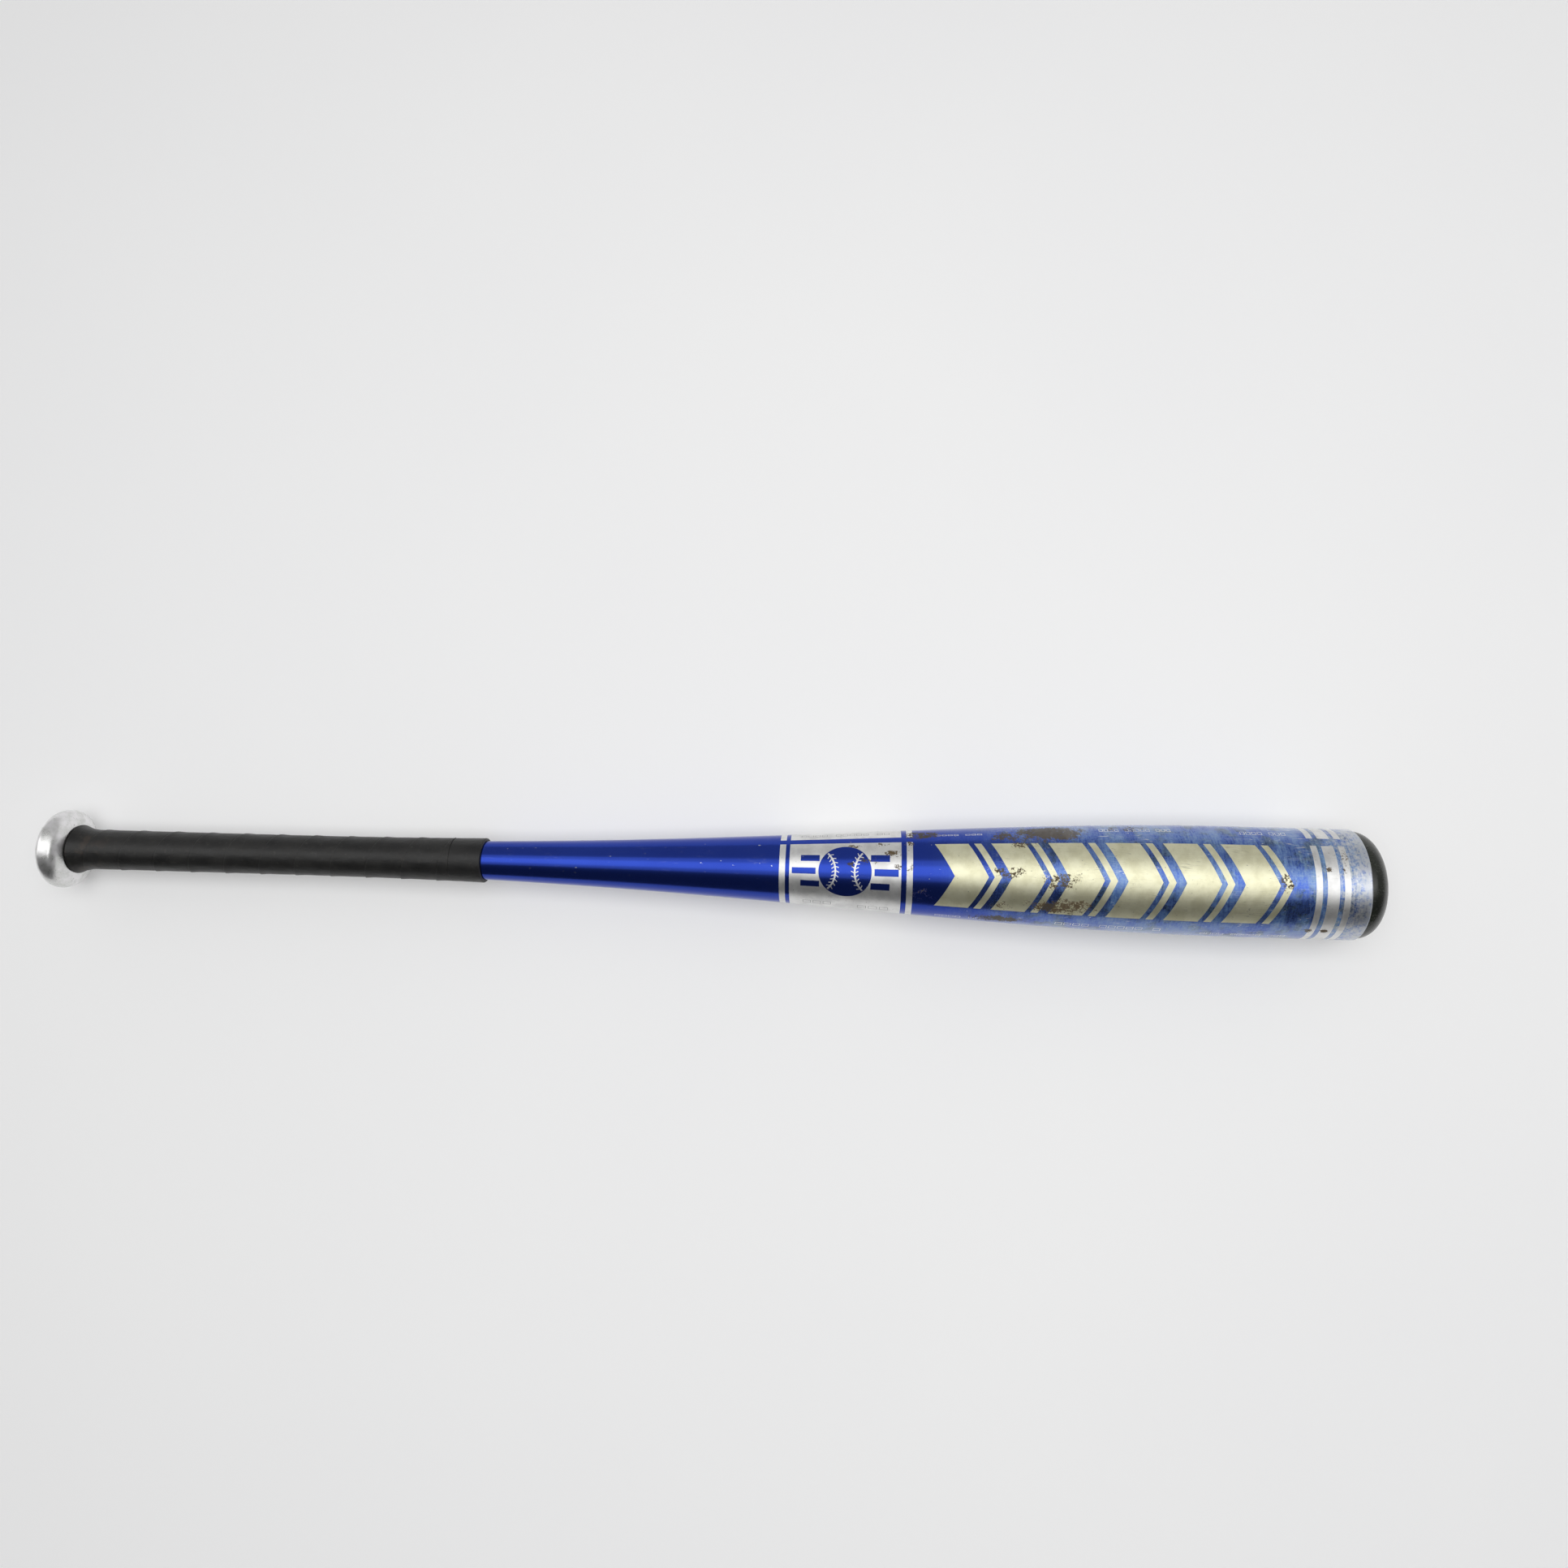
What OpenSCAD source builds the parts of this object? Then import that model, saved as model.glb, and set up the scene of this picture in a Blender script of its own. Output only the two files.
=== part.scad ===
// One-piece aluminium baseball bat with a spiral-wound grip and a snap-in end cap.
// The bat's axis is +X, from the knob's end face at x = 0 to the tip of the cap.

/* [Overall] */
// Length from the knob's end face to the tip of the cap
overall_l = 787.4; // [640:0.1:950]
// Diameter of the straight barrel
barrel_d = 63.5; // [52:0.1:77]
// Diameter of the bare tube in the handle
handle_d = 20.3; // [16.8:0.1:26]

/* [Taper] */
// Distance from the knob's end face to the start of the taper
handle_l = 140; // [60:1:200]
// Straight barrel ahead of the rolled lip
barrel_l = 72; // [62:1:140]
// How far the taper's fullness is pushed towards the barrel
taper_bias = 1.26; // [1:0.01:1.6]

/* [Wall] */
// Wall of the tube in the handle
handle_wall = 2.5; // [1.6:0.1:3.4]
// Wall at the middle of the taper
taper_wall = 1.9; // [1.4:0.1:3]
// Wall of the barrel
barrel_wall = 2.1; // [1.5:0.1:3.2]

/* [Rolled lip] */
// Outside radius of the lip's corner
lip_round = 1; // [0.5:0.1:2]
// Thickness of the turned-in lip
lip_t = 2.1; // [1.5:0.1:3.2]
// How far the lip turns in from the barrel's bore
lip_w = 5.15; // [4:0.05:7]

/* [Knob] */
// Diameter over the knob's rim
knob_d = 46.8; // [39:0.1:57]
// Half of the knob's thickness, from the middle of the rim
knob_half = 8.83; // [7.3:0.01:11]
// Depth of the flat cut across the rounded end
knob_cut = 0.33; // [0.2:0.01:0.8]
// Squareness of the rim: 2 is an ellipse, more is squarer
knob_square = 2.41; // [2:0.01:4]
// Height of the neck over the tube where it leaves the knob
neck_h = 2.95; // [2:0.05:4]
// Length of the neck's flare, weld included
neck_l = 9; // [7:0.5:14]
// Hollowness of the flare: 1 is a straight cone
neck_curve = 1.4; // [1:0.05:2]
// Share of the flare that belongs to the knob, the rest being weld
neck_share = 0.5; // [0.3:0.05:0.7]
// Length of tube held in the knob
socket_l = 14; // [8:0.5:16]
// Gap between the tube and its socket
socket_gap = 0.05; // [0.02:0.01:0.2]

/* [Grip] */
// Distance from the knob's end face to the upper end of the grip
grip_end = 266.9; // [200:0.1:330]
// Bare metal between the knob's back and the grip
grip_start_gap = 0.5; // [0.2:0.1:3]
// Thickness of the adhesive backing
backing_t = 0.35; // [0.2:0.05:0.8]
// Thickness of the wound strip
strip_t = 1.2; // [0.8:0.05:2.4]
// Distance between turns of the strip along the handle
strip_pitch = 21.5; // [16:0.1:30]
// Width of the thinned edge that each turn laps over the last
strip_lap = 2; // [1:0.1:3]
// Thickness left at the strip's thinned edges
strip_edge = 0.25; // [0.15:0.05:0.5]
// Length of the collar that closes the grip
collar_l = 19; // [10:0.5:30]
// Length of the collar's skirt under the end of the strip
skirt_l = 6; // [3:0.5:10]
// Radius of the collar's rounded upper edge
collar_round = 1; // [0.4:0.1:1.4]
// Gap between one layer of the grip and the next
layer_gap = 0.06; // [0.05:0.01:0.12]

/* [End cap] */
// Height of the cap's dome over the lip
cap_h = 15.3; // [10:0.1:24]
// Squareness of the dome towards its rim
cap_shoulder = 2.81; // [2:0.01:4]
// Squareness of the dome towards its tip
cap_crown = 2.17; // [2:0.01:4]
// Height of the bead that holds the cap behind the lip
bead_h = 1.6; // [0.8:0.1:2.4]
// Depth of the cap behind the lip's outer face
plug_l = 16; // [10:0.5:24]
// Wall of the cap's hollow plug
plug_wall = 5; // [3:0.5:8]
// Gap between the cap's groove and the lip
cap_gap = 0.1; // [0.05:0.01:0.3]

/* [Foam plug] */
// Length of the foam behind the cap
foam_l = 40; // [20:1:45]
// Gap between the foam and the barrel's wall
foam_gap = 0.1; // [0.05:0.05:0.5]

/* [Hidden] */

// Facets round a turned piece, steps along a curve and steps round one turn of the strip
turn_fn = 96;
taper_steps = 30;
curve_steps = 12;
corner_steps = 4;
strip_steps = 24;

handle_r = handle_d / 2;
barrel_r = barrel_d / 2;
knob_r = knob_d / 2;

// The barrel's bore and the mouth that the lip leaves open
barrel_bore_r = barrel_r - barrel_wall;
mouth_r = barrel_bore_r - lip_w;

// The lip's outer face, where the cap's dome starts
lip_x = overall_l - cap_h;
taper_x0 = handle_l;
taper_x1 = lip_x - barrel_l;

// The rim is a superellipse, cut flat at the end face and left where it meets the neck
knob_mid = knob_half - knob_cut;
knob_face_a = -asin(pow(knob_mid / knob_half, knob_square / 2));
knob_back_a = acos(pow((handle_r + neck_h) / knob_r, knob_square / 2));
neck_x0 = knob_mid + knob_half * pow(sin(knob_back_a), 2 / knob_square);
neck_x1 = neck_x0 + neck_l;
neck_split_x = neck_x0 + neck_l * neck_share;
// The weld stops short of a feather edge
weld_x1 = neck_x1 - neck_l / 10;
tube_x0 = neck_split_x - socket_l;

grip_x0 = neck_x0 + grip_start_gap;
collar_x0 = grip_end - collar_l;
skirt_x0 = collar_x0 - skirt_l;
strip_x1 = collar_x0 - layer_gap;

plug_x0 = lip_x - plug_l;
foam_x0 = plug_x0 - foam_l;

function limit(v, low, high) = min(max(v, low), high);

// An S-curve from 0 to 1 with level ends
function ease(v) = v * v * (3 - 2 * v);

function taper_share(x) = limit((x - taper_x0) / (taper_x1 - taper_x0), 0, 1);

// Outside and inside radius of the swaged tube at a distance x from the end face
function tube_r(x) = handle_r + (barrel_r - handle_r) * ease(pow(taper_share(x), taper_bias));
function wall_at(x) = lookup(taper_share(x), [[0, handle_wall], [0.5, taper_wall], [1, barrel_wall]]);
function bore_r(x) = tube_r(x) - wall_at(x);

// Surface that the grip lies on: the neck's flare, the weld, then the bare tube
function neck_r(x) = handle_r + neck_h * pow(limit((neck_x1 - x) / neck_l, 0, 1), neck_curve);
function under_r(x) = x < neck_x1 ? neck_r(x) : tube_r(x);
function backing_r(x) = under_r(x) + layer_gap + backing_t;
function seat_r(x) = backing_r(x) + layer_gap;

neck_xs = [for (i = [0 : curve_steps]) neck_x0 + neck_l * i / curve_steps];
taper_xs = [for (i = [0 : taper_steps]) taper_x0 + (taper_x1 - taper_x0) * i / taper_steps];
all_xs = concat(neck_xs, taper_xs);

// The stations between two places along the axis, with both places themselves
function stations(a, b) = concat([a], [for (x = all_xs) if (x > a + 0.1 && x < b - 0.1) x], [b]);
function reversed(list) = [for (i = [len(list) - 1 : -1 : 0]) list[i]];

// A quarter turn of a round corner, as [radius, x] points
function corner(r, x, radius, a0, a1) =
    [for (i = [0 : corner_steps]) let (a = a0 + (a1 - a0) * i / corner_steps)
        [r + radius * cos(a), x + radius * sin(a)]];

// Turns a [radius, x] outline about the bat's axis
module turned(outline) {
    rotate([0, 90, 0])
        rotate_extrude($fn = turn_fn)
            polygon(outline);
}

// Swaged tube: handle, taper and barrel in one, with the barrel's end rolled in to a lip
module shell() {
    outer = [for (x = stations(tube_x0, taper_x1)) [tube_r(x), x]];
    inner = [for (x = stations(tube_x0, taper_x1)) [bore_r(x), x]];
    lip_inner_x = lip_x - lip_t;
    color("royalblue")
        turned(concat(
            outer,
            corner(barrel_r - lip_round, lip_x - lip_round, lip_round, 0, 90),
            [[mouth_r, lip_x], [mouth_r, lip_inner_x]],
            corner(barrel_bore_r - lip_round, lip_inner_x - lip_round, lip_round, 90, 0),
            reversed(inner)));
}

// Knob: a rounded disc with a flared neck and a blind socket for the tube
module knob() {
    rim = [for (i = [0 : 2 * curve_steps])
        let (a = knob_face_a + (knob_back_a - knob_face_a) * i / (2 * curve_steps))
        [knob_r * pow(cos(a), 2 / knob_square),
         knob_mid + knob_half * sign(a) * pow(abs(sin(a)), 2 / knob_square)]];
    neck = [for (x = stations(neck_x0, neck_split_x)) if (x > neck_x0) [neck_r(x), x]];
    socket_r = handle_r + socket_gap;
    color("silver")
        turned(concat(
            [[0, 0]],
            rim,
            neck,
            [[socket_r, neck_split_x], [socket_r, tube_x0], [0, tube_x0]]));
}

// Weld that carries the neck's flare down to the tube
module knob_weld() {
    bead = [for (x = stations(neck_split_x, weld_x1)) [neck_r(x), x]];
    color("gainsboro")
        turned(concat([[handle_r, neck_split_x]], bead, [[handle_r, weld_x1]]));
}

// Adhesive backing between the metal and the wound strip, up to the collar's skirt
module grip_backing() {
    xs = stations(grip_x0, skirt_x0 - layer_gap);
    color("dimgray")
        turned(concat(
            [for (x = xs) [backing_r(x), x]],
            reversed([for (x = xs) [under_r(x) + layer_gap, x]])));
}

// Height of the strip's top and underside over its seat, across one turn.
// Its knob-side edge laps over the thinned barrel-side edge of the turn before.
heel = 0.5;
shoulder = 6;
lap_h = strip_t + layer_gap;
strip_top = [
    [0, lap_h + strip_edge],
    [shoulder, strip_t],
    [strip_pitch, strip_t],
    [strip_pitch + strip_lap, strip_edge]];
strip_under = [
    [0, lap_h],
    [strip_lap, strip_edge + layer_gap],
    [strip_lap + heel, 0]];

// Places across the strip where its section has corners, trimmed square at both ends of the grip.
// The first turn also bends where the neck's flare bends.
function strip_places(c) =
    let (
        a = max(c, grip_x0),
        b = min(c + strip_pitch + strip_lap, strip_x1),
        heel_x = c + strip_lap + heel,
        wanted = [
            a,
            max(c + strip_lap, neck_x0 + neck_l * 0.4),
            max(heel_x, neck_x0 + neck_l * 0.8),
            max(c + shoulder, neck_x1 + 2),
            max(c + strip_pitch, neck_x1 + 3),
            b],
        last = len(wanted) - 1,
        sliver = strip_lap / 20)
    [for (j = [0 : last]) limit(wanted[j], a + sliver * j, b - sliver * (last - j))];

// One section of the strip at a turning angle: along its underside and back over its top
function strip_ring(turn_a) =
    let (
        c = grip_x0 - strip_pitch + strip_pitch * turn_a / 360,
        xs = strip_places(c),
        // the flats between steps then touch the true radius
        grow = 1 / cos(180 / strip_steps),
        under = [for (x = xs) [x, seat_r(x) + lookup(x - c, strip_under)]],
        top = [for (x = xs) [x, seat_r(x) + lookup(x - c, strip_top)]])
    [for (p = concat(under, reversed(top)))
        [p[0], -p[1] * grow * sin(turn_a), -p[1] * grow * cos(turn_a)]];

// The wound strip: a left-handed helix with skived edges and ends cut on a taper
module grip_wrap() {
    turns = (strip_x1 - strip_lap - grip_x0 + strip_pitch) / strip_pitch;
    count = floor(turns * strip_steps);
    rings = [for (i = [0 : count]) strip_ring(i * 360 / strip_steps)];
    n = len(rings[0]);
    points = [for (ring = rings) for (p = ring) p];
    sides = [for (i = [0 : count - 1]) for (j = [0 : n - 1])
        let (k = (j + 1) % n, near = i * n, far = near + n)
        each [[near + j, near + k, far + k], [near + j, far + k, far + j]]];
    start_cap = [for (j = [0 : n / 2 - 2])
        each [[j, n - 1 - j, j + 1], [j + 1, n - 1 - j, n - 2 - j]]];
    end_cap_faces = [for (f = start_cap) [for (v = reversed(f)) v + count * n]];
    color("#242424")
        polyhedron(points, concat(sides, start_cap, end_cap_faces));
}

// Collar that closes the grip, with a thin skirt under the end of the strip
module grip_collar() {
    top_r = seat_r(grip_end) + strip_t;
    xs = stations(skirt_x0, grip_end);
    color("#1c1c1c")
        turned(concat(
            [for (x = stations(skirt_x0, collar_x0)) [backing_r(x), x]],
            [for (x = stations(collar_x0, grip_end - collar_round)) [seat_r(x) + strip_t, x]],
            corner(top_r - collar_round, grip_end - collar_round, collar_round, 30, 90),
            reversed([for (x = xs) [under_r(x) + layer_gap, x]])));
}

// Cap: a dome on the lip, with a groove that the lip sits in and a hollow plug behind it
module end_cap() {
    rim_r = barrel_r - lip_round;
    neck = mouth_r - cap_gap;
    groove_x = lip_x - lip_t - cap_gap;
    bead_r = mouth_r + bead_h;
    bead_x = (groove_x + plug_x0) / 2;
    pocket_r = neck - plug_wall;
    dome = [for (i = [0 : curve_steps])
        let (a = 90 * i / curve_steps)
        [rim_r * pow(cos(a), 2 / cap_shoulder), lip_x + cap_h * pow(sin(a), 2 / cap_crown)]];
    color("#20241f")
        turned(concat(
            [[0, lip_x], [pocket_r, lip_x], [pocket_r, plug_x0], [neck - bead_h, plug_x0]],
            [[bead_r, bead_x], [bead_r, groove_x], [neck, groove_x], [neck, lip_x]],
            dome));
}

// Foam damper on the barrel's inside wall, up against the cap's plug
module foam_plug() {
    foam_r = min(bore_r(foam_x0), bore_r(plug_x0)) - foam_gap;
    color("khaki")
        translate([foam_x0, 0, 0])
            rotate([0, 90, 0])
                cylinder(h = foam_l, r = foam_r, $fn = turn_fn);
}

shell();
knob();
knob_weld();
grip_backing();
grip_wrap();
grip_collar();
end_cap();
foam_plug();
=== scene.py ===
from math import acos, asin, cos, pi, radians, sin

import bmesh
import bpy
from mathutils import Euler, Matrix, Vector


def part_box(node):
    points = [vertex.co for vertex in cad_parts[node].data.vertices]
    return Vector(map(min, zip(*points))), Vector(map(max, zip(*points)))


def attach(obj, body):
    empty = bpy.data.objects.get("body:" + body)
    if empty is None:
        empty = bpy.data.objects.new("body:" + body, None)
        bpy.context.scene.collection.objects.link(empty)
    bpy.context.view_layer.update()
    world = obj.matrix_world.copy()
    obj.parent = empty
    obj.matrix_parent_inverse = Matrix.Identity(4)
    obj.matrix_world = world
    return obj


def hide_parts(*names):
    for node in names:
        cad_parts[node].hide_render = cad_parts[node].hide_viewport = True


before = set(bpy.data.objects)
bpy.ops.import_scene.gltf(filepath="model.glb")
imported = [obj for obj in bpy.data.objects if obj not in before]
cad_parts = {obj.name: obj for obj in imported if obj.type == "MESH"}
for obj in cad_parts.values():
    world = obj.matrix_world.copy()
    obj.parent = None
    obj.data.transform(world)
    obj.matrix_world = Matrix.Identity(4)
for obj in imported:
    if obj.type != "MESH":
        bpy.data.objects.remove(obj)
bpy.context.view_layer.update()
scene = bpy.context.scene

# ---------------------------------------------------------------------------------------------
# The table: a broad sheet of pale card, leaning a little against the bat's axis so that it lies
# just under the knob's rim and the barrel's end. The barrel dips up to 0.4 mm through it between
# x 0.644 and 0.700. The lights and the camera go with it.
# ---------------------------------------------------------------------------------------------


def put(tree, kind, inputs=None, **settings):
    """Adds a node. An input is a number, a colour or another node's output."""
    made = tree.nodes.new(kind)
    for name, value in settings.items():
        setattr(made, name, value)
    for name, value in (inputs or {}).items():
        if isinstance(value, bpy.types.NodeSocket):
            tree.links.new(value, made.inputs[name])
        else:
            made.inputs[name].default_value = value
    return made


def sums(tree, operation, *values, clamp=False):
    """The result of one sum on numbers or outputs."""
    inputs = dict(enumerate(values))
    return put(tree, "ShaderNodeMath", inputs, operation=operation, use_clamp=clamp).outputs[0]


def ramp(tree, value, low, high, to_low=0.0, to_high=1.0):
    """A smooth step of a value between two limits."""
    inputs = {"Value": value, "From Min": low, "From Max": high, "To Min": to_low, "To Max": to_high}
    return put(tree, "ShaderNodeMapRange", inputs, interpolation_type="SMOOTHSTEP").outputs[0]


def blend_colour(tree, share, first, second):
    """A colour that goes from the first to the second as the share goes from 0 to 1."""
    made = put(tree, "ShaderNodeMix", data_type="RGBA")
    for socket, value in zip((made.inputs[0], made.inputs[6], made.inputs[7]), (share, first, second)):
        if isinstance(value, bpy.types.NodeSocket):
            tree.links.new(value, socket)
        else:
            socket.default_value = value
    return made.outputs[2]


def speckle(tree, place, scale, detail=4.0, roughness=0.55):
    """Noise of so many features a metre, round about 0.5."""
    inputs = {"Vector": place, "Scale": scale, "Detail": detail, "Roughness": roughness}
    return put(tree, "ShaderNodeTexNoise", inputs).outputs[0]


def stretched(tree, place, scale, turn=(0, 0, 0)):
    """The place scaled and turned, so that a pattern on it is drawn out in one direction."""
    inputs = {"Vector": place, "Scale": scale, "Rotation": [radians(a) for a in turn]}
    return put(tree, "ShaderNodeMapping", inputs).outputs[0]


def new_material(name, **constants):
    """A material with one Principled shader, with its constant values set."""
    material = bpy.data.materials.new(name)
    material.use_nodes = True
    tree = material.node_tree
    shader = tree.nodes["Principled BSDF"]
    for socket, value in constants.items():
        shader.inputs[socket.replace("_", " ")].default_value = value
    return material, tree, shader, tree.nodes.new("ShaderNodeTexCoord").outputs["Object"]


def bump(tree, shader, height, distance, strength=1.0):
    """Feeds a height, in metres at full strength, to the shader's normal."""
    inputs = {"Height": height, "Distance": distance, "Strength": strength}
    tree.links.new(put(tree, "ShaderNodeBump", inputs).outputs[0], shader.inputs["Normal"])


knob_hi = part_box("knob")[1]
shell_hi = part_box("shell")[1]
rim_x = 0.0085
rest_x = 0.740
table_gap = 0.0001
card_half, card_middle_x = 1.2, 0.42
table_slope = (shell_hi.z - knob_hi.z) / (rest_x - rim_x)
table_z = -knob_hi.z + table_slope * rim_x - table_gap

bm = bmesh.new()
bmesh.ops.create_grid(bm, x_segments=4, y_segments=4, size=card_half)
for v in bm.verts:
    v.co.x += card_middle_x
    v.co.z = table_z - table_slope * v.co.x
card_mesh = bpy.data.meshes.new("table_card")
bm.to_mesh(card_mesh)
bm.free()
card = bpy.data.objects.new("table_card", card_mesh)
scene.collection.objects.link(card)
material, tree, shader, place = new_material("pale card", Roughness=0.75, Specular_IOR_Level=0.2,
                                             Emission_Color=(1, 1, 1, 1), Emission_Strength=0.16)
tone = speckle(tree, place, 2.2, 3)
tint = blend_colour(tree, tone, (0.79, 0.79, 0.80, 1), (0.84, 0.84, 0.835, 1))
tree.links.new(tint, shader.inputs["Base Color"])
card_mesh.materials.append(material)


def area_light(name, place, aim, size, radiance, glossy=True, diffuse=True):
    """A soft rectangle of light, turned to the point it lights."""
    data = bpy.data.lights.new(name, "AREA")
    data.shape = "RECTANGLE"
    data.size, data.size_y = size
    data.energy = radiance * pi * size[0] * size[1]
    lamp = bpy.data.objects.new(name, data)
    lamp.location = place
    lamp.rotation_euler = (Vector(aim) - Vector(place)).to_track_quat("-Z", "Y").to_euler()
    lamp.visible_glossy = glossy
    lamp.visible_diffuse = diffuse
    scene.collection.objects.link(lamp)


# One overhead lamp lights the card. The reflectors show only in the metal.
area_light("overhead", (0.60, 0.13, 1.6), (0.60, 0, 0), (1.6, 1.05), 3.3, glossy=False)
area_light("wide_reflector", (0.42, 0.16, 1.35), (0.42, 0, 0), (3.4, 1.40), 0.70, diffuse=False)
area_light("near_reflector", (0.42, 0.13, 1.30), (0.42, 0, 0), (3.4, 0.62), 0.78, diffuse=False)
area_light("end_reflector", (1.35, -0.30, 1.25), (0.74, 0, 0), (0.9, 0.28), 1.3, diffuse=False)
area_light("left_window", (-1.35, 0.15, 0.75), (0.0, 0, 0), (0.9, 0.9), 1.2, diffuse=False)

world = bpy.data.worlds.new("studio")
scene.world = world
world.use_nodes = True
tree = world.node_tree
direction = put(tree, "ShaderNodeTexCoord").outputs["Generated"]
across = put(tree, "ShaderNodeSeparateXYZ", {"Vector": direction}).outputs["Y"]
room = ramp(tree, across, -0.75, 0.6, 0.10, 0.47)
seen = put(tree, "ShaderNodeLightPath").outputs["Is Camera Ray"]
level = put(tree, "ShaderNodeMix", {0: seen, 2: room, 3: 0.8}).outputs[0]
tree.links.new(level, tree.nodes["Background"].inputs["Color"])

camera_data = bpy.data.cameras.new("camera")
camera_data.lens = 25.594
camera_data.sensor_width = 36
camera_data.shift_x = -0.01585
camera_data.shift_y = -0.04509
camera = bpy.data.objects.new("camera", camera_data)
camera.location = (0.48731, 0.02317, 0.66346)
camera.rotation_euler = Euler([radians(a) for a in (6.034, 2.429, 1.513)])
scene.collection.objects.link(camera)
scene.camera = camera
scene.view_settings.view_transform = "Standard"

# ---------------------------------------------------------------------------------------------
# The shell: handle, taper and barrel are one drawn aluminium tube, swaged down to the handle.
# It is dyed royal blue in the anodising bath, and the barrel's end is rolled in to a lip.
# ---------------------------------------------------------------------------------------------

handle_r = 0.01015
barrel_r = shell_hi.z
lip_x = shell_hi.x
taper_x0 = 0.140
taper_x1 = lip_x - 0.072
mouth_r = 0.0245
lip_t = 0.0021
tube_x0 = 0.0205
tube_wall = 0.0021
swage_lean = 1.26
lip_round = 0.001
skin_sink = 0.00006


def tube_r(x):
    """Radius of the swaged tube at a distance from the knob's end face."""
    share = min(max((x - taper_x0) / (taper_x1 - taper_x0), 0), 1) ** swage_lean
    return handle_r + (barrel_r - handle_r) * share * share * (3 - 2 * share)


def skin_r(x):
    """The bare tube lies a hair under its nominal size, so that the prints don't stand out of it."""
    return tube_r(x) - skin_sink


def steps(a, b, count):
    return [a + (b - a) * i / count for i in range(count + 1)]


def turned(outline, closed=True, count=256, angle=2 * pi, start=0.0):
    """An outline of (x, radius) points spun round the bat's axis, from the top towards the front."""
    bm = bmesh.new()
    verts = [bm.verts.new((x, -r * sin(start), r * cos(start))) for x, r in outline]
    pairs = list(zip(verts, verts[1:])) + ([(verts[-1], verts[0])] if closed else [])
    edges = [bm.edges.new(pair) for pair in pairs]
    whole = angle == 2 * pi
    bmesh.ops.spin(bm, geom=verts + edges, cent=(0, 0, 0), axis=(1, 0, 0), angle=angle, steps=count,
                   use_merge=whole)
    bmesh.ops.remove_doubles(bm, verts=bm.verts, dist=1e-7)
    if whole:
        bmesh.ops.recalc_face_normals(bm, faces=bm.faces)
    return bm


def arc(x, r, radius, a0, a1, count=6):
    """Points of a round corner, in degrees from the outward radius towards +X."""
    return [(x + radius * sin(radians(a)), r + radius * cos(radians(a))) for a in steps(a0, a1, count)]


def finish_piece(bm, name, material, slot, *replaced):
    """Makes the object, smooth but for its real corners, and puts it on the bat."""
    for face in bm.faces:
        face.smooth = True
    for edge in bm.edges:
        edge.smooth = len(edge.link_faces) == 2 and edge.calc_face_angle() < radians(35)
    mesh = bpy.data.meshes.new(name)
    bm.to_mesh(mesh)
    bm.free()
    mesh.materials.append(material)
    made = bpy.data.objects.new(name, mesh)
    scene.collection.objects.link(made)
    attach(made, "root")
    if replaced:
        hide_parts(*replaced)
    return made


def new_group(name, inputs, outputs):
    """An empty shader node group with its sockets, and its input and output nodes."""
    tree = bpy.data.node_groups.new(name, "ShaderNodeTree")
    for socket, value in inputs.items():
        made = tree.interface.new_socket(socket, in_out="INPUT", socket_type="NodeSocketFloat")
        made.default_value = value
    for socket in outputs:
        tree.interface.new_socket(socket, in_out="OUTPUT", socket_type="NodeSocketFloat")
    return tree, tree.nodes.new("NodeGroupInput").outputs, tree.nodes.new("NodeGroupOutput").inputs


def use_group(tree, group, inputs=None):
    return put(tree, "ShaderNodeGroup", inputs, node_tree=group).outputs


# One worn place: full at its middle and nothing past its edge. Lengths in mm and degrees round.
wear_spot, into, out = new_group("wear spot", {"Along": 0, "Round": 0, "At": 0, "Angle": 0, "Length": 10,
                                               "Width": 10}, ["Share"])
along = sums(wear_spot, "DIVIDE", sums(wear_spot, "SUBTRACT", into["Along"], into["At"]), into["Length"])
about = sums(wear_spot, "DIVIDE", sums(wear_spot, "SUBTRACT", into["Round"], into["Angle"]), into["Width"])
far = sums(wear_spot, "SQRT", sums(wear_spot, "ADD", sums(wear_spot, "MULTIPLY", along, along),
                                   sums(wear_spot, "MULTIPLY", about, about)))
wear_spot.links.new(ramp(wear_spot, far, 1.0, 0.15), out["Share"])

# Wear of the dyed and printed barrel: grime beaten into it, rubbed metal, a haze of fine marks that grows
# towards the cap, fine turning grain and long scratches. The prints share it with the blue.
barrel_wear, into, out = new_group("barrel wear", {"Grime": 1.0, "Rub": 1.0},
                                   ["Grime", "Rub", "Haze", "Grain", "Scratch"])
place = put(barrel_wear, "ShaderNodeTexCoord").outputs["Object"]
parts = put(barrel_wear, "ShaderNodeSeparateXYZ", {"Vector": place}).outputs
along = sums(barrel_wear, "MULTIPLY", parts["X"], 1000.0)
frontward = sums(barrel_wear, "MULTIPLY", parts["Y"], -1.0)
about = sums(barrel_wear, "MULTIPLY", sums(barrel_wear, "ARCTAN2", frontward, parts["Z"]), 180 / pi)


def worn_places(tree, places):
    """The strongest of several worn places: (mm along, degrees round, length, width, strength)."""
    most = None
    for at, angle, length, width, strength in places:
        share = use_group(tree, wear_spot, {"Along": along, "Round": about, "At": at, "Angle": angle,
                                            "Length": length, "Width": width})["Share"]
        share = sums(tree, "MULTIPLY", share, strength)
        most = share if most is None else sums(tree, "MAXIMUM", most, share)
    return most


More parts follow.
